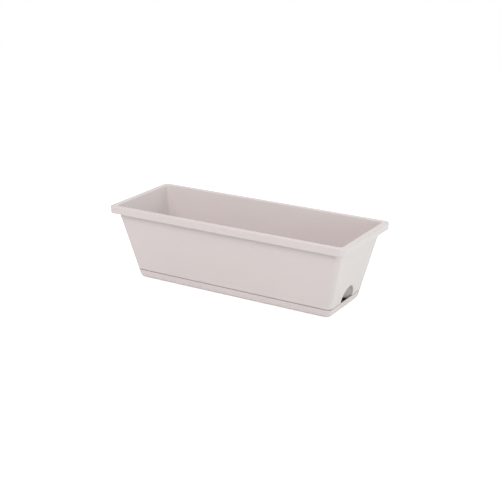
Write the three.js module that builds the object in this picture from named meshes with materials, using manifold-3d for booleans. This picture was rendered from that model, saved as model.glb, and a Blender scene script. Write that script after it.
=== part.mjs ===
// Rectangular planter box standing in its water tray.
// Millimetres, +Z up, X along the length. The origin is on the ground under the middle of the tray.

import * as THREE from "three";
import { mergeVertices } from "three/addons/utils/BufferGeometryUtils.js";
import Module from "manifold-3d";

const wasm = await Module();
wasm.setup();

// Overall size
const rimLength = 495;
const rimWidth = 188;
const totalHeight = 145;

// The sloping walls: their outer faces carried down to the ground, and their upright corners
const baseLength = 408.5;
const baseWidth = 119.5;
const topCornerRadius = 10;
const baseCornerRadius = 8.5;
const boxWall = 2.2;
const leastCornerRadius = 0.6; // that a section keeps however far it is moved inwards

// Rim turned outwards and down
const rimReach = 8.9; // from the wall's outer face to the rim's, at the top
const rimDrop = 13.8;
const rimLean = 1; // how far the rim's outer face leans in towards its lower edge
const rimWall = 2;
const rimRound = 3; // outer top edge
const lipRound = 2.5; // inner top edge
const rimCornerRadius = 12;

// Water tray
const trayHeight = 16.5;
const trayWall = 2;
const trayFloor = 2.6; // height of its floor above the ground
const trayEdgeRound = 6.5;
const trayInnerRound = 4.5;
const footBand = 12; // flat band round the underside that stands on the ground
const footRecess = 0.8;
const recessCornerRadius = 6;
const floorRibHeight = 2;
const floorRibWidth = 2.4;

// Foot of the box
const seamGap = 1.4; // between the tray's top edge and the box's bottom edge
const spigotDepth = 7.6; // how far the box reaches down into the tray
const spigotWall = 2.2;
const sidePlay = 0.8; // spigot to tray wall, along the long sides
const endPlay = 2; // and at the ends
const restGap = 0.3; // box to the seats that it stands on

// Raised floor of the box
const floorLift = 5; // its underside above the box's bottom edge
const floorThickness = 2.4;
const basinRound = 4;
const underRibDepth = 7;
const underRibWidth = 1.8;
const bayLength = 58;
const drainDiameter = 8;
const drainOffset = 26; // from the middle line

// Water notch at the foot of each end wall: a round-headed niche, rounded at its back too
const notchRadius = 22.6;
const notchLift = 4.1; // centre of the round above the box's bottom edge
const nicheWall = 2.2;

// Seats in the tray that carry the box
const seatWidth = 2.4;
const seatLap = 2.5; // how far a seat reaches past the spigot's wall
const endSeatOffset = 40; // from the middle line, clear of the notch

// Facets
const cornerSteps = 5;
const roundSteps = 5;
const archSteps = 20;
const holeSteps = 16;
const overlap = 1; // how far a cutting or joining body runs past the face it meets

const boxBottom = trayHeight + seamGap;
const spigotBottom = boxBottom - spigotDepth;
const floorUnderside = boxBottom + floorLift;
const floorTop = floorUnderside + floorThickness;
const notchCentre = boxBottom + notchLift;
const wallTopLength = rimLength - 2 * rimReach;
const wallTopWidth = rimWidth - 2 * rimReach;

// Rounded rectangle that the sloping outer face has at height z, moved outwards by out
function wallSection(z, out = 0) {
  const rise = z / totalHeight;
  return {
    z,
    halfLength: THREE.MathUtils.lerp(baseLength, wallTopLength, rise) / 2 + out,
    halfWidth: THREE.MathUtils.lerp(baseWidth, wallTopWidth, rise) / 2 + out,
    radius: Math.max(THREE.MathUtils.lerp(baseCornerRadius, topCornerRadius, rise) + out, leastCornerRadius),
  };
}

// Rounded rectangle of the rim's outer face at height z, moved inwards by inset.
// The face leans in below its rounded edge.
function rimSection(z, inset = 0) {
  const belowRounding = Math.max(totalHeight - rimRound - z, 0);
  const lean = (rimLean * belowRounding) / (rimDrop - rimRound);
  return {
    z,
    halfLength: rimLength / 2 - inset - lean,
    halfWidth: rimWidth / 2 - inset - lean,
    radius: rimCornerRadius - inset - lean,
  };
}

// Rounded rectangle of the spigot's upright outer face, moved outwards by out
function spigotSection(z, out = 0) {
  const trayInside = wallSection(spigotBottom, -trayWall);
  return {
    z,
    halfLength: trayInside.halfLength - endPlay + out,
    halfWidth: trayInside.halfWidth - sidePlay + out,
    radius: trayInside.radius - sidePlay + out,
  };
}

// Points round a section, anticlockwise from above, the same number for every section
function outline({ halfLength, halfWidth, radius }) {
  const x = halfLength - radius;
  const y = halfWidth - radius;
  const quarter = Math.PI / 2;
  const shape = new THREE.Shape();
  shape.absarc(x, y, radius, 0, quarter);
  shape.absarc(-x, y, radius, quarter, 2 * quarter);
  shape.absarc(-x, -y, radius, 2 * quarter, 3 * quarter);
  shape.absarc(x, -y, radius, 3 * quarter, 4 * quarter);
  return shape.getPoints(cornerSteps);
}

// Closed surface through sections listed from the bottom up
function loft(sections) {
  const rings = sections.map(outline);
  const count = rings[0].length;
  const positions = rings.flatMap((ring, level) => ring.flatMap((p) => [p.x, p.y, sections[level].z]));
  const indices = [];
  for (let level = 0; level + 1 < rings.length; level++) {
    for (let i = 0; i < count; i++) {
      const next = (i + 1) % count;
      const a = level * count + i;
      const b = level * count + next;
      indices.push(a, b, b + count, a, b + count, a + count);
    }
  }
  const lastRing = (rings.length - 1) * count;
  for (const [a, b, c] of THREE.ShapeUtils.triangulateShape(rings[0], [])) {
    indices.push(a, c, b);
  }
  for (const [a, b, c] of THREE.ShapeUtils.triangulateShape(rings.at(-1), [])) {
    indices.push(lastRing + a, lastRing + b, lastRing + c);
  }
  const geometry = new THREE.BufferGeometry();
  geometry.setAttribute("position", new THREE.Float32BufferAttribute(positions, 3));
  geometry.setIndex(indices);
  return geometry;
}

// Angles from 0 to a quarter turn
function quarterTurn() {
  return Array.from({ length: roundSteps + 1 }, (_, i) => (i / roundSteps) * (Math.PI / 2));
}

// Sections that round the bottom edge of a body whose side sections come from sectionAt(z, out)
function roundedFoot(sectionAt, bottom, radius, out = 0) {
  return quarterTurn().map((turn) =>
    sectionAt(bottom + radius * (1 - Math.cos(turn)), out - radius * (1 - Math.sin(turn))),
  );
}

function solid(geometry) {
  const bare = geometry.clone();
  bare.deleteAttribute("normal");
  bare.deleteAttribute("uv");
  const merged = mergeVertices(bare);
  const mesh = new wasm.Mesh({
    numProp: 3,
    vertProperties: merged.attributes.position.array,
    triVerts: Uint32Array.from(merged.index.array),
  });
  return new wasm.Manifold(mesh);
}

function loftSolid(sections) {
  return solid(loft(sections));
}

// Upright box from its size and the middle of its underside
function block(length, width, height, x, y, z) {
  return solid(new THREE.BoxGeometry(length, width, height).translate(x, y, z + height / 2));
}

function joined(solids) {
  return solids.reduce((whole, next) => whole.add(next));
}

// Round-headed body with a rounded inner end, open downwards: a ball drawn out along X and down to bottom
function nicheBody(radius, bottom, xStart, xEnd) {
  const ball = wasm.Manifold.sphere(radius, 2 * archSteps);
  const balls = [xStart, xEnd].flatMap((x) =>
    [bottom - overlap, notchCentre].map((z) => ball.translate([x, 0, z])),
  );
  return wasm.Manifold.hull(balls).trimByPlane([0, 0, 1], bottom);
}

// A solid made for the +X end, and its like at the -X end
function bothEnds(body) {
  return body.add(body.rotate([0, 0, 180]));
}

// Middles of copies a pitch apart that fit in a span, centred on zero
function spread(span, pitch) {
  const count = Math.max(1, Math.floor(span / pitch));
  return Array.from({ length: count }, (_, i) => (i - (count - 1) / 2) * pitch);
}

function rimShell() {
  const rounding = (radius, inset, top) =>
    quarterTurn().map((turn) =>
      rimSection(top - radius * (1 - Math.sin(turn)), inset + radius * (1 - Math.cos(turn))),
    );
  const rimBottom = totalHeight - rimDrop;
  const outside = loftSolid([rimSection(rimBottom), ...rounding(rimRound, 0, totalHeight)]);
  const inside = loftSolid([
    rimSection(rimBottom - overlap, rimWall),
    ...rounding(rimRound - rimWall, rimWall, totalHeight - rimWall),
  ]);
  return outside.subtract(inside);
}

// Hollow for the soil, with a rounded floor edge and a lip that opens outwards at the top
function basin() {
  const lip = quarterTurn().map((turn) =>
    wallSection(totalHeight - lipRound * (1 - Math.sin(turn)), lipRound * (1 - Math.cos(turn)) - boxWall),
  );
  return loftSolid([
    ...roundedFoot(wallSection, floorTop, basinRound, -boxWall),
    ...lip,
    { ...lip.at(-1), z: totalHeight + overlap },
  ]);
}

// Cross ribs and a spine under the floor. The spine ends at the outer cross ribs, clear of the niches.
function floorRibs() {
  const inside = spigotSection(spigotBottom, -spigotWall / 2);
  const height = underRibDepth + floorThickness / 2;
  const bottom = floorUnderside - underRibDepth;
  const places = spread(2 * inside.halfLength - bayLength, bayLength);
  const crossRibs = places.map((x) => block(underRibWidth, 2 * inside.halfWidth, height, x, 0, bottom));
  const spine = block(2 * places.at(-1) + underRibWidth, underRibWidth, height, 0, 0, bottom);
  return joined([spine, ...crossRibs]);
}

// Two rows of holes, one pair in the middle of each bay between the cross ribs
function drainHoles() {
  const inside = spigotSection(spigotBottom, -spigotWall);
  const radius = drainDiameter / 2;
  const hole = new THREE.CylinderGeometry(radius, radius, floorThickness + 2 * overlap, holeSteps);
  hole.rotateX(Math.PI / 2);
  const middle = floorUnderside + floorThickness / 2;
  const holes = spread(2 * inside.halfLength, bayLength).flatMap((x) =>
    [-drainOffset, drainOffset].map((y) => solid(hole.clone().translate(x, y, middle))),
  );
  return joined(holes);
}

function planterBox() {
  const sloping = loftSolid([wallSection(boxBottom), wallSection(totalHeight - rimWall / 2)]);
  const shell = sloping.add(rimShell()).subtract(basin());

  const spigot = loftSolid([spigotSection(spigotBottom), spigotSection(floorUnderside + floorThickness / 2)]);
  const underFloor = loftSolid([
    spigotSection(spigotBottom - overlap, -spigotWall),
    spigotSection(floorUnderside, -spigotWall),
  ]);

  // The niche's wall stands up into the soil space and down into the tray, where it joins the spigot's
  const footEnd = wallSection(boxBottom).halfLength;
  const beyond = wallSection(totalHeight).halfLength;
  const hood = nicheBody(notchRadius + nicheWall, spigotBottom, footEnd, beyond);
  const niche = nicheBody(notchRadius, spigotBottom - overlap, footEnd, beyond);
  const wallCore = loftSolid([wallSection(boxBottom, -boxWall / 2), wallSection(totalHeight, -boxWall / 2)]);
  const spigotCore = loftSolid([
    spigotSection(spigotBottom, -spigotWall / 2),
    spigotSection(floorUnderside, -spigotWall / 2),
  ]);

  return shell
    .add(spigot)
    .subtract(underFloor)
    .add(bothEnds(hood).intersect(wallCore.add(spigotCore)))
    .add(floorRibs())
    .subtract(bothEnds(niche))
    .subtract(drainHoles());
}

// Upright ribs that stand in the tray under the spigot's wall
function seats() {
  const spigot = spigotSection(spigotBottom);
  const height = spigotBottom - restGap - trayFloor / 2;
  const bottom = trayFloor / 2;
  const reach = spigotWall + seatLap;
  const beyond = wallSection(trayHeight);
  const sideSeats = spread(2 * spigot.halfLength - bayLength, bayLength).flatMap((x) =>
    [-1, 1].map((side) => {
      const inner = spigot.halfWidth - reach;
      const width = beyond.halfWidth - inner;
      return block(seatWidth, width, height, x, side * (inner + width / 2), bottom);
    }),
  );
  const endSeats = [-1, 1].flatMap((end) =>
    [-endSeatOffset, endSeatOffset].map((y) => {
      const inner = spigot.halfLength - reach;
      const length = beyond.halfLength - inner;
      return block(length, seatWidth, height, end * (inner + length / 2), y, bottom);
    }),
  );
  return joined([...sideSeats, ...endSeats]);
}

function waterTray() {
  const outside = loftSolid([...roundedFoot(wallSection, 0, trayEdgeRound), wallSection(trayHeight)]);
  const inside = loftSolid([
    ...roundedFoot(wallSection, trayFloor, trayInnerRound, -trayWall),
    wallSection(trayHeight + overlap, -trayWall),
  ]);
  const standing = trayEdgeRound + footBand;
  const recess = loftSolid(
    [-overlap, footRecess].map((z) => ({ ...wallSection(0, -standing), radius: recessCornerRadius, z })),
  );

  // What stands in the tray ends inside its wall, its floor and their rounded edge
  const core = loftSolid([
    ...roundedFoot(wallSection, trayFloor / 2, trayEdgeRound - trayWall / 2, -trayWall / 2),
    wallSection(trayHeight, -trayWall / 2),
  ]);
  const floorEdge = wallSection(trayFloor, -trayWall);
  const lowRibs = spread(2 * floorEdge.halfLength - bayLength, bayLength).map((x) =>
    block(floorRibWidth, 2 * floorEdge.halfWidth, floorRibHeight + trayFloor / 2, x, 0, trayFloor / 2),
  );
  const ribs = seats().add(joined(lowRibs)).intersect(core);
  return outside.subtract(inside).add(ribs).subtract(recess);
}

function part(name, body, material) {
  const { vertProperties, triVerts } = body.getMesh();
  const geometry = new THREE.BufferGeometry();
  geometry.setAttribute("position", new THREE.BufferAttribute(vertProperties, 3));
  geometry.setIndex(new THREE.BufferAttribute(triVerts, 1));
  geometry.computeVertexNormals();
  const mesh = new THREE.Mesh(geometry, material);
  mesh.name = name;
  return mesh;
}

const warmOffWhite = { color: 0xded4d1, roughness: 0.6, metalness: 0, flatShading: true };

const planter = new THREE.Group();
planter.add(
  part("planter_box", planterBox(), new THREE.MeshStandardMaterial(warmOffWhite)),
  part("water_tray", waterTray(), new THREE.MeshStandardMaterial(warmOffWhite)),
);

export default planter;
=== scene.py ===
import math

import bmesh
import bpy
from mathutils import Matrix, Vector


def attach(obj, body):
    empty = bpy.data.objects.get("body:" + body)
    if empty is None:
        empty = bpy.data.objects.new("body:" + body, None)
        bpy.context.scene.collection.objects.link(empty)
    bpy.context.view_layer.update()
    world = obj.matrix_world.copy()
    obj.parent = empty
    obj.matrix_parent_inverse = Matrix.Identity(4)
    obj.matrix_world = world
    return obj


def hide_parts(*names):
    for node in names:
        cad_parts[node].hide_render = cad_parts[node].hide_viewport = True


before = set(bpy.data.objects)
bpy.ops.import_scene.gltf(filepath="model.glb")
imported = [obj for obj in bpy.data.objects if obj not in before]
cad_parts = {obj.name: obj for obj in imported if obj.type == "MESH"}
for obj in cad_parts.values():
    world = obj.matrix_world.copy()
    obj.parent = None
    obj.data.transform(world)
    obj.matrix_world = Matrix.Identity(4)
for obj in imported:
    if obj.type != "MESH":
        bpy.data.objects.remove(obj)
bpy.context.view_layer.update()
mm = 0.001
near = 0.01 * mm  # points closer than this count as one

# The planter is a tapered box standing in a tray whose walls carry the same slope on down.
# Lengths and widths are those of the outer faces, at the ground and at the top.
wall = {
    "height": 145 * mm,
    "baseLength": 408.5 * mm, "baseWidth": 119.5 * mm, "baseCorner": 8.5 * mm,
    "topLength": 477.2 * mm, "topWidth": 170.2 * mm, "topCorner": 10 * mm,
    "cornerSteps": 12,
}


def between(low, high, part):
    return low + (high - low) * part


def wallRing(z, out=0.0, soft=0.0):
    # the sloping face at height z, moved out; soft is how wide its edge is rounded
    rise = z / wall["height"]
    return {
        "x": between(wall["baseLength"], wall["topLength"], rise) / 2 + out,
        "y": between(wall["baseWidth"], wall["topWidth"], rise) / 2 + out,
        "corner": between(wall["baseCorner"], wall["topCorner"], rise) + out,
        "z": z, "soft": soft,
    }


def firstRing(bm, ring):
    # a flat rectangle with its four corners rounded off
    verts = bmesh.ops.create_grid(bm, x_segments=1, y_segments=1, size=1.0)["verts"]
    bmesh.ops.scale(bm, vec=(ring["x"], ring["y"], 1), verts=verts)
    bmesh.ops.bevel(bm, geom=verts, offset=ring["corner"], offset_type="OFFSET",
                    segments=wall["cornerSteps"], profile=0.5, affect="VERTICES", material=-1)
    bm.faces.ensure_lookup_table()
    bmesh.ops.translate(bm, vec=(0, 0, ring["z"]), verts=bm.verts)
    return bm.faces[0]


def cornerCentre(ring, sideX, sideY):
    return Vector((sideX * (ring["x"] - ring["corner"]), sideY * (ring["y"] - ring["corner"]), ring["z"]))


def reshapeRing(bm, face, old, new):
    # moves each rounded corner to its new place and size
    for sideX in (-1, 1):
        for sideY in (-1, 1):
            verts = [v for v in face.verts if v.co.x * sideX > 0 and v.co.y * sideY > 0]
            centre, target = cornerCentre(old, sideX, sideY), cornerCentre(new, sideX, sideY)
            size = new["corner"] / old["corner"]
            bmesh.ops.scale(bm, vec=(size, size, 1), space=Matrix.Translation(-centre), verts=verts)
            bmesh.ops.translate(bm, vec=target - centre, verts=verts)


def toObject(bm, name):
    mesh = bpy.data.meshes.new(name)
    bm.to_mesh(mesh)
    bm.free()
    obj = bpy.data.objects.new(name, mesh)
    bpy.context.scene.collection.objects.link(obj)
    return obj


def meshOf(obj):
    bm = bmesh.new()
    bm.from_mesh(obj.data)
    return bm


def applyModifiers(obj):
    rough = obj.data
    shown = obj.evaluated_get(bpy.context.evaluated_depsgraph_get())
    obj.data = bpy.data.meshes.new_from_object(shown)
    obj.modifiers.clear()
    bpy.data.meshes.remove(rough)


def ringShell(name, rings, softSteps):
    # closed skin pushed out ring by ring, then every marked edge rounded
    bm = bmesh.new()
    weight = bm.edges.layers.float.new("bevel_weight_edge")
    softest = max(ring["soft"] for ring in rings)
    face = firstRing(bm, rings[0])
    for edge in face.edges:
        edge[weight] = rings[0]["soft"] / softest
    for old, new in zip(rings, rings[1:]):
        pushed = bmesh.ops.extrude_face_region(bm, geom=[face])["geom"]
        if old is not rings[0]:  # only the first ring stays closed, as one end of the skin
            bmesh.ops.delete(bm, geom=[face], context="FACES_ONLY")
        face = next(g for g in pushed if isinstance(g, bmesh.types.BMFace))
        reshapeRing(bm, face, old, new)
        for vert in face.verts:
            for edge in vert.link_edges:
                edge[weight] = 0.0
        for edge in face.edges:
            edge[weight] = new["soft"] / softest
    bmesh.ops.recalc_face_normals(bm, faces=bm.faces)
    obj = toObject(bm, name)
    rounding = obj.modifiers.new("softEdges", "BEVEL")
    rounding.limit_method = "WEIGHT"
    rounding.width = softest
    rounding.segments = softSteps
    rounding.profile = 0.5
    rounding.use_clamp_overlap = False
    applyModifiers(obj)
    return obj


def vertsOf(geom):
    return [g for g in geom if isinstance(g, bmesh.types.BMVert)]


def cutAway(bm, point, side, dist=0.0):
    # takes off all that lies on the given side of the point
    return bmesh.ops.bisect_plane(bm, geom=bm.verts[:] + bm.edges[:] + bm.faces[:], dist=dist,
                                  plane_co=point, plane_no=side, clear_outer=True)["geom_cut"]


def nicheBody(name, radius, centreZ, footZ, startX, endX, steps=96):
    # round head over upright sides, rounded at its back: a quarter of a ball drawn down and out
    down, out = footZ - centreZ, endX - startX
    bm = bmesh.new()
    bmesh.ops.create_uvsphere(bm, u_segments=steps, v_segments=steps // 2, radius=radius)
    cutAway(bm, (0, 0, 0), (0, 0, -1), near / 10)
    legs = bmesh.ops.extrude_edge_only(bm, edges=[e for e in bm.edges if e.is_boundary])["geom"]
    bmesh.ops.translate(bm, vec=(0, 0, down), verts=vertsOf(legs))

    cutAway(bm, (0, 0, 0), (1, 0, 0), near / 10)
    mouth = [e for e in bm.edges if e.is_boundary and all(abs(v.co.x) < near for v in e.verts)]
    drawn = vertsOf(bmesh.ops.extrude_edge_only(bm, edges=mouth)["geom"])
    bmesh.ops.translate(bm, vec=(out, 0, 0), verts=drawn)

    # closed by an edge across the foot of the mouth, then its end and its underside
    bmesh.ops.contextual_create(bm, geom=[v for v in drawn if v.co.z < down + near])
    for axis, value in ((0, out), (2, down)):
        loop = [e for e in bm.edges
                if len(e.link_faces) < 2 and all(abs(v.co[axis] - value) < near for v in e.verts)]
        bmesh.ops.contextual_create(bm, geom=loop)
    bmesh.ops.translate(bm, vec=(startX, 0, centreZ), verts=bm.verts)
    bmesh.ops.recalc_face_normals(bm, faces=bm.faces)
    return toObject(bm, name)


def turned(obj, name):
    # the same thing for the other end
    mesh = obj.data.copy()
    mesh.transform(Matrix.Rotation(math.pi, 4, "Z"))
    other = bpy.data.objects.new(name, mesh)
    bpy.context.scene.collection.objects.link(other)
    return other


def combine(obj, tool, operation):
    step = obj.modifiers.new("combine", "BOOLEAN")
    step.object = tool
    step.operation = operation
    step.solver = "EXACT"
    applyModifiers(obj)
    bpy.data.objects.remove(tool)
    bm = meshOf(obj)
    bmesh.ops.remove_doubles(bm, verts=bm.verts, dist=near)
    bmesh.ops.dissolve_degenerate(bm, edges=bm.edges, dist=near)
    bm.to_mesh(obj.data)
    bm.free()


def slab(bm, size, centre, soft):
    # thin rib with soft edges
    verts = bmesh.ops.create_cube(bm, size=1.0)["verts"]
    bmesh.ops.scale(bm, vec=size, verts=verts)
    bmesh.ops.translate(bm, vec=centre, verts=verts)
    edges = list({e for v in verts for e in v.link_edges})
    bmesh.ops.bevel(bm, geom=edges, offset=soft, offset_type="OFFSET", segments=2, profile=0.5,
                    affect="EDGES", material=-1)


def smooth(obj):
    # smooth shading that keeps flat faces flat
    for face in obj.data.polygons:
        face.use_smooth = True
    obj.data.set_sharp_from_angle(angle=math.radians(40))
    even = obj.modifiers.new("evenNormals", "WEIGHTED_NORMAL")
    even.keep_sharp = True
    even.weight = 100


def places(span, pitch):
    # as many as fit a pitch apart, centred
    count = max(1, int(span // pitch))
    return [(i - (count - 1) / 2) * pitch for i in range(count)]


# Both pieces are the same matt plastic.
plastic = {
    "colour": (0.729, 0.657, 0.647), "deeper": (0.699, 0.627, 0.617), "flow": 11, "flowDetail": 3,
    "roughness": (0.50, 0.60),
    "grain": 1500, "grainDetail": 2, "grainDepth": 0.03 * mm, "grainStrength": 0.35,
}


def mouldedPlastic(name, look):
    # matt moulded plastic: cloudy colour, spark-eroded grain, uneven gloss
    material = bpy.data.materials.new(name)
    material.use_nodes = True
    nodes, links = material.node_tree.nodes, material.node_tree.links
    shader = nodes["Principled BSDF"]
    place = nodes.new("ShaderNodeTexCoord")
    flow = nodes.new("ShaderNodeTexNoise")
    flow.inputs["Scale"].default_value = look["flow"]
    flow.inputs["Detail"].default_value = look["flowDetail"]
    colour = nodes.new("ShaderNodeMix")
    colour.data_type = "RGBA"
    colour.inputs["A"].default_value = (*look["deeper"], 1)
    colour.inputs["B"].default_value = (*look["colour"], 1)
    gloss = nodes.new("ShaderNodeMapRange")
    gloss.inputs["To Min"].default_value, gloss.inputs["To Max"].default_value = look["roughness"]
    grain = nodes.new("ShaderNodeTexNoise")
    grain.inputs["Scale"].default_value = look["grain"]
    grain.inputs["Detail"].default_value = look["grainDetail"]
    bump = nodes.new("ShaderNodeBump")
    bump.inputs["Strength"].default_value = look["grainStrength"]
    bump.inputs["Distance"].default_value = look["grainDepth"]
    links.new(place.outputs["Object"], flow.inputs["Vector"])
    links.new(place.outputs["Object"], grain.inputs["Vector"])
    links.new(flow.outputs["Fac"], colour.inputs["Factor"])
    links.new(flow.outputs["Fac"], gloss.inputs["Value"])
    links.new(colour.outputs["Result"], shader.inputs["Base Color"])
    links.new(gloss.outputs["Result"], shader.inputs["Roughness"])
    links.new(grain.outputs["Fac"], bump.inputs["Height"])
    links.new(bump.outputs["Normal"], shader.inputs["Normal"])
    return material


boxPlastic = mouldedPlastic("boxPlastic", plastic)
trayPlastic = mouldedPlastic("trayPlastic", plastic)
print("plastic mixed")


# The planter box, one moulding. A value that ends in Soft is how wide an edge is rounded.
# The tool values size the bodies that cut it, where they run past what they cut.
box = {
    "wall": 2.2 * mm, "lipSoft": 1.3 * mm, "softSteps": 5,
    "rimLength": 495 * mm, "rimWidth": 188 * mm, "rimCorner": 10.5 * mm, "rimDrop": 13.8 * mm,
    "rimLean": 1 * mm, "rimFlare": 0.18 * mm, "rimWall": 2 * mm,
    "rimSoft": 2.2 * mm, "rimFootSoft": 0.8 * mm, "rimInnerSoft": 0.6 * mm, "underRimSoft": 1 * mm,
    "rimRootSoft": 1.2 * mm,
    "bottom": 17.9 * mm, "bottomSoft": 0.5 * mm,
    "floorUnder": 22.9 * mm, "floorTop": 25.3 * mm, "basinSoft": 4 * mm, "underFloorSoft": 0.6 * mm,
    "spigotBottom": 10.3 * mm, "spigotX": 202.69 * mm, "spigotY": 58.75 * mm, "spigotCorner": 5.81 * mm,
    "spigotWall": 2.2 * mm, "spigotSoft": 0.5 * mm, "spigotRootSoft": 0.3 * mm,
    "notchRadius": 22.6 * mm, "notchCentre": 22 * mm, "notchSoft": 0.4 * mm, "nicheFoot": 12 * mm,
    "drainRadius": 4 * mm, "drainOffset": 26 * mm, "drainSteps": 40,
    "bay": 58 * mm, "ribDepth": 7 * mm, "ribWidth": 1.8 * mm, "ribSoft": 0.3 * mm, "ribStep": 0.1 * mm,
    "toolEnd": 240 * mm, "toolSize": 40 * mm, "toolLap": 0.5 * mm, "toolPast": 1 * mm, "toolDepth": 8 * mm,
}


def rimRing(z, inset=0.0, soft=0.0):
    return {"x": box["rimLength"] / 2 - inset, "y": box["rimWidth"] / 2 - inset,
            "corner": box["rimCorner"] - inset, "z": z, "soft": soft}


def spigotRing(z, inset=0.0, soft=0.0):
    return {"x": box["spigotX"] - inset, "y": box["spigotY"] - inset,
            "corner": box["spigotCorner"] - inset, "z": z, "soft": soft}


def makeHood(footEnd):
    # the niche's wall, out to the middle of the end wall and down into the tray, where water runs under it
    hood = nicheBody("hood", box["notchRadius"] + box["spigotWall"], box["notchCentre"], box["nicheFoot"],
                     footEnd, box["toolEnd"])
    bm = meshOf(hood)
    foot, head = (wallRing(z, -box["wall"] / 2) for z in (0, wall["height"]))
    slope = Vector((head["z"] - foot["z"], 0, foot["x"] - head["x"])).normalized()
    cut = cutAway(bm, (foot["x"], 0, 0), slope)
    bmesh.ops.contextual_create(bm, geom=[g for g in cut if isinstance(g, bmesh.types.BMEdge)])
    bmesh.ops.recalc_face_normals(bm, faces=bm.faces)
    bm.to_mesh(hood.data)
    bm.free()

    # below the end wall it reaches only to the middle of the spigot's wall
    bm = bmesh.new()
    size = box["toolSize"]
    verts = bmesh.ops.create_cube(bm, size=size)["verts"]
    bmesh.ops.scale(bm, vec=(1, 2, 1), verts=verts)
    bmesh.ops.translate(bm, verts=verts, vec=(box["spigotX"] - box["spigotWall"] / 2 + size / 2, 0,
                                              box["bottom"] + box["toolLap"] - size / 2))
    combine(hood, toObject(bm, "belowWall"), "DIFFERENCE")
    return hood


def makeDrains():
    # one pair in the middle of each bay between the ribs
    bm = bmesh.new()
    middle = (box["floorUnder"] + box["floorTop"]) / 2
    for x in places(2 * (box["spigotX"] - box["spigotWall"]), box["bay"]):
        for side in (-1, 1):
            spot = Matrix.Translation((x, side * box["drainOffset"], middle))
            bmesh.ops.create_cone(bm, cap_ends=True, segments=box["drainSteps"], radius1=box["drainRadius"],
                                  radius2=box["drainRadius"], depth=box["toolDepth"], matrix=spot)
    return toObject(bm, "drains")


def softenNotches(shell):
    # the notch's outer edge, where arch and end wall meet, is a little rounded
    def onWall(co):
        return abs(abs(co.x) - wallRing(co.z)["x"]) < near

    def onArch(co):
        return abs(math.hypot(co.y, max(0, co.z - box["notchCentre"])) - box["notchRadius"]) < 5 * near

    bm = meshOf(shell)
    rim = [e for e in bm.edges if all(onWall(v.co) and onArch(v.co) for v in e.verts)]
    bmesh.ops.bevel(bm, geom=rim, offset=box["notchSoft"], offset_type="OFFSET", segments=3, profile=0.5,
                    affect="EDGES", material=-1)
    bm.to_mesh(shell.data)
    bm.free()
    print("planter shell:", len(rim), "notch edges rounded,", len(shell.data.polygons), "faces")


def makeBoxShell():
    top = wall["height"]
    rimBottom = top - box["rimDrop"]
    underRim = top - box["rimWall"]
    shell = ringShell("planterShell", [
        wallRing(box["floorTop"], -box["wall"], box["basinSoft"]),
        wallRing(top, -box["wall"], box["lipSoft"]),
        rimRing(top, -box["rimFlare"], box["rimSoft"]),  # flared, so that it is full size below its rounding
        rimRing(rimBottom, box["rimLean"], box["rimFootSoft"]),
        rimRing(rimBottom, box["rimLean"] + box["rimWall"], box["rimInnerSoft"]),
        rimRing(underRim, box["rimWall"], box["underRimSoft"]),
        wallRing(underRim, 0, box["rimRootSoft"]),
        wallRing(box["bottom"], 0, box["bottomSoft"]),
        spigotRing(box["bottom"], 0, box["spigotRootSoft"]),
        spigotRing(box["spigotBottom"], 0, box["spigotSoft"]),
        spigotRing(box["spigotBottom"], box["spigotWall"], box["spigotSoft"]),
        spigotRing(box["floorUnder"], box["spigotWall"], box["underFloorSoft"]),
    ], box["softSteps"])

    footEnd = wallRing(box["bottom"])["x"]
    hood = makeHood(footEnd)
    combine(shell, turned(hood, "hoodLeft"), "UNION")
    combine(shell, hood, "UNION")
    niche = nicheBody("niche", box["notchRadius"], box["notchCentre"], box["spigotBottom"] - box["toolPast"],
                      footEnd, box["toolEnd"])
    combine(shell, turned(niche, "nicheLeft"), "DIFFERENCE")
    combine(shell, niche, "DIFFERENCE")
    combine(shell, makeDrains(), "DIFFERENCE")
    softenNotches(shell)
    return shell


def makeUnderRibs():
    # cross ribs and a spine, which stops at the outer ones, clear of the niches
    bm = bmesh.new()
    insideX, insideY = (box[half] - box["spigotWall"] / 2 for half in ("spigotX", "spigotY"))
    bottom = box["floorUnder"] - box["ribDepth"]
    height = box["ribDepth"] + (box["floorTop"] - box["floorUnder"]) / 2
    rows = places(2 * insideX - box["bay"], box["bay"])
    for x in rows:
        slab(bm, (box["ribWidth"], 2 * insideY, height), (x, 0, bottom + height / 2), box["ribSoft"])
    slab(bm, (2 * rows[-1], box["ribWidth"], height - box["ribStep"]), (0, 0, bottom + height / 2),
         box["ribSoft"])
    return toObject(bm, "underFloorRibs")


planterShell = makeBoxShell()
underFloorRibs = makeUnderRibs()
for piece in (planterShell, underFloorRibs):
    smooth(piece)
    piece.data.materials.clear()
    piece.data.materials.append(boxPlastic)
    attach(piece, "box")
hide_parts("planter_box")
print("planter box made")


# The water tray. Its band is measured from the outer face and takes in the foot's rounding.
tray = {
    "height": 16.5 * mm, "wall": 2 * mm, "floor": 2.6 * mm, "softSteps": 6,
    "innerSoft": 4.5 * mm, "topInnerSoft": 0.5 * mm, "topSoft": 0.6 * mm, "footSoft": 7.4 * mm,
    "band": 18.5 * mm, "bandSoft": 0.4 * mm,
    "recess": 0.8 * mm, "recessCorner": 6 * mm, "recessSoft": 0.2 * mm,
    "ribHeight": 2 * mm, "ribWidth": 2.4 * mm, "ribSoft": 0.5 * mm, "ribShort": 1 * mm, "bay": 58 * mm,
    "seatTop": 10 * mm, "seatWidth": 2.4 * mm, "seatSoft": 0.4 * mm, "seatReach": 4.7 * mm,
    "endSeatOffset": 40 * mm,
}


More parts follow.
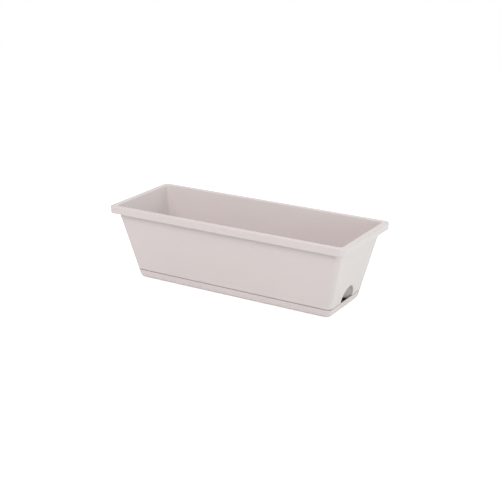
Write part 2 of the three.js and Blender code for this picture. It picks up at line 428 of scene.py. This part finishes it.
def makeTrayShell():
    band = {**wallRing(0, -tray["band"], tray["bandSoft"]), "corner": tray["recessCorner"]}
    return ringShell("trayShell", [
        wallRing(tray["floor"], -tray["wall"], tray["innerSoft"]),
        wallRing(tray["height"], -tray["wall"], tray["topInnerSoft"]),
        wallRing(tray["height"], 0, tray["topSoft"]),
        wallRing(0, 0, tray["footSoft"]),
        band,
        {**band, "z": tray["recess"], "soft": tray["recessSoft"]},
    ], tray["softSteps"])


def makeSeats(edge, low):
    # upright ribs that the box's spigot stands on
    bm = bmesh.new()
    height = tray["seatTop"] - low
    middle = low + height / 2
    start, end = box["spigotY"] - tray["seatReach"], edge["y"]
    for x in places(2 * box["spigotX"] - tray["bay"], tray["bay"]):
        for side in (-1, 1):
            slab(bm, (tray["seatWidth"], end - start, height), (x, side * (start + end) / 2, middle),
                 tray["seatSoft"])
    start, end = box["spigotX"] - tray["seatReach"], edge["x"]
    for sideX in (-1, 1):
        for sideY in (-1, 1):
            slab(bm, (end - start, tray["seatWidth"], height),
                 (sideX * (start + end) / 2, sideY * tray["endSeatOffset"], middle), tray["seatSoft"])
    return toObject(bm, "traySeats")


def makeTrayRibs():
    edge = wallRing(tray["floor"], -tray["wall"] / 2)
    low = tray["floor"] / 2
    bm = bmesh.new()
    height = tray["ribHeight"] + low
    for x in places(2 * edge["x"] - tray["wall"] - tray["bay"], tray["bay"]):
        slab(bm, (tray["ribWidth"], 2 * edge["y"] - tray["ribShort"], height), (x, 0, low + height / 2),
             tray["ribSoft"])
    ribs = toObject(bm, "trayRibs")
    combine(ribs, makeSeats(edge, low), "UNION")

    # nothing of them comes out through the tray's rounded foot
    depth = tray["wall"] / 2
    core = ringShell("trayCore", [
        wallRing(depth, -depth, tray["footSoft"] - depth),
        wallRing(tray["height"], -depth, 0),
    ], tray["softSteps"])
    combine(ribs, core, "INTERSECT")
    return ribs


trayShell = makeTrayShell()
trayRibs = makeTrayRibs()
for piece in (trayShell, trayRibs):
    smooth(piece)
    piece.data.materials.clear()
    piece.data.materials.append(trayPlastic)
    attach(piece, "tray")
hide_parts("water_tray")
print("water tray made")


# A white studio. The lift turns the paper white wherever it is seen.
studio = {
    "floorSize": 5.0, "floorDrop": 0.05 * mm, "paper": (0.86, 0.86, 0.86), "lift": 0.58, "world": 0.575,
    "aim": (0, 0, 0.07),
    "lamps": [
        {"name": "keyLamp", "at": (-0.5, -1.9, 1.7), "size": 1.4, "power": 21.8, "colour": (1.0, 1.0, 1.0)},
        {"name": "backLamp", "at": (-0.6, 1.8, 1.6), "size": 1.4, "power": 11, "colour": (1.0, 1.0, 1.0)},
        {"name": "sideLamp", "at": (2.3, -0.5, 0.42), "size": 0.8, "power": 12.4,
         "colour": (0.854, 1.0, 0.978)},
        {"name": "endLamp", "at": (2.05, 0.95, 0.75), "size": 0.8, "power": 5.6,
         "colour": (0.854, 1.0, 0.978)},
    ],
}


def shownWhite(nodes, links):
    # 1 for rays from the eye, also by way of a gloss or a clear body
    seen = nodes.new("ShaderNodeLightPath")
    value = seen.outputs["Is Camera Ray"]
    for ray in ("Is Glossy Ray", "Is Transmission Ray"):
        most = nodes.new("ShaderNodeMath")
        most.operation = "MAXIMUM"
        links.new(value, most.inputs[0])
        links.new(seen.outputs[ray], most.inputs[1])
        value = most.outputs[0]
    return value


def makeFloor(look):
    bm = bmesh.new()
    bmesh.ops.create_grid(bm, x_segments=1, y_segments=1, size=look["floorSize"] / 2)
    bmesh.ops.translate(bm, vec=(0, 0, -look["floorDrop"]), verts=bm.verts)
    ground = toObject(bm, "studioFloor")
    paper = bpy.data.materials.new("studioPaper")
    paper.use_nodes = True
    nodes, links = paper.node_tree.nodes, paper.node_tree.links
    nodes.remove(nodes["Principled BSDF"])
    matte = nodes.new("ShaderNodeBsdfDiffuse")
    matte.inputs["Color"].default_value = (*look["paper"], 1)
    lift = nodes.new("ShaderNodeEmission")
    lift.inputs["Strength"].default_value = look["lift"]
    both = nodes.new("ShaderNodeAddShader")
    choice = nodes.new("ShaderNodeMixShader")
    links.new(matte.outputs[0], both.inputs[0])
    links.new(lift.outputs[0], both.inputs[1])
    links.new(shownWhite(nodes, links), choice.inputs["Fac"])
    links.new(matte.outputs[0], choice.inputs[1])
    links.new(both.outputs[0], choice.inputs[2])
    links.new(choice.outputs[0], nodes["Material Output"].inputs["Surface"])
    ground.data.materials.append(paper)


def makeWorld(look):
    world = bpy.data.worlds.new("studioWorld")
    bpy.context.scene.world = world
    world.use_nodes = True
    nodes, links = world.node_tree.nodes, world.node_tree.links
    soft = nodes["Background"]
    soft.inputs["Strength"].default_value = look["world"]
    soft.inputs["Color"].default_value = (1, 1, 1, 1)
    white = nodes.new("ShaderNodeBackground")
    white.inputs["Color"].default_value = (1, 1, 1, 1)
    choice = nodes.new("ShaderNodeMixShader")
    links.new(shownWhite(nodes, links), choice.inputs["Fac"])
    links.new(soft.outputs[0], choice.inputs[1])
    links.new(white.outputs[0], choice.inputs[2])
    links.new(choice.outputs[0], nodes["World Output"].inputs["Surface"])


def makeLamp(lamp, aim):
    light = bpy.data.lights.new(lamp["name"], "AREA")
    light.shape = "DISK"
    light.size = lamp["size"]
    light.energy = lamp["power"]
    light.color = lamp["colour"]
    holder = bpy.data.objects.new(lamp["name"], light)
    holder.location = lamp["at"]
    holder.rotation_euler = (Vector(aim) - Vector(lamp["at"])).to_track_quat("-Z", "Y").to_euler()
    bpy.context.scene.collection.objects.link(holder)


makeFloor(studio)
makeWorld(studio)
for lamp in studio["lamps"]:
    makeLamp(lamp, studio["aim"])
print("studio lit")


# The camera stands where the photographer's stood.
camera = {
    "at": (982.18 * mm, -1613.66 * mm, 732.84 * mm), "turn": 31.128, "rise": 19.241,
    "lens": 77.319, "sensor": 36, "nearest": 0.05, "farthest": 50,
}


def makeCamera(view):
    lens = bpy.data.cameras.new("photoCamera")
    lens.lens = view["lens"]
    lens.sensor_width = view["sensor"]
    lens.clip_start, lens.clip_end = view["nearest"], view["farthest"]
    holder = bpy.data.objects.new("photoCamera", lens)
    holder.location = view["at"]
    holder.rotation_euler = (math.radians(90 - view["rise"]), 0, math.radians(view["turn"]))
    bpy.context.scene.collection.objects.link(holder)
    bpy.context.scene.camera = holder


makeCamera(camera)
bpy.context.scene.view_settings.view_transform = "Standard"
print("camera set")
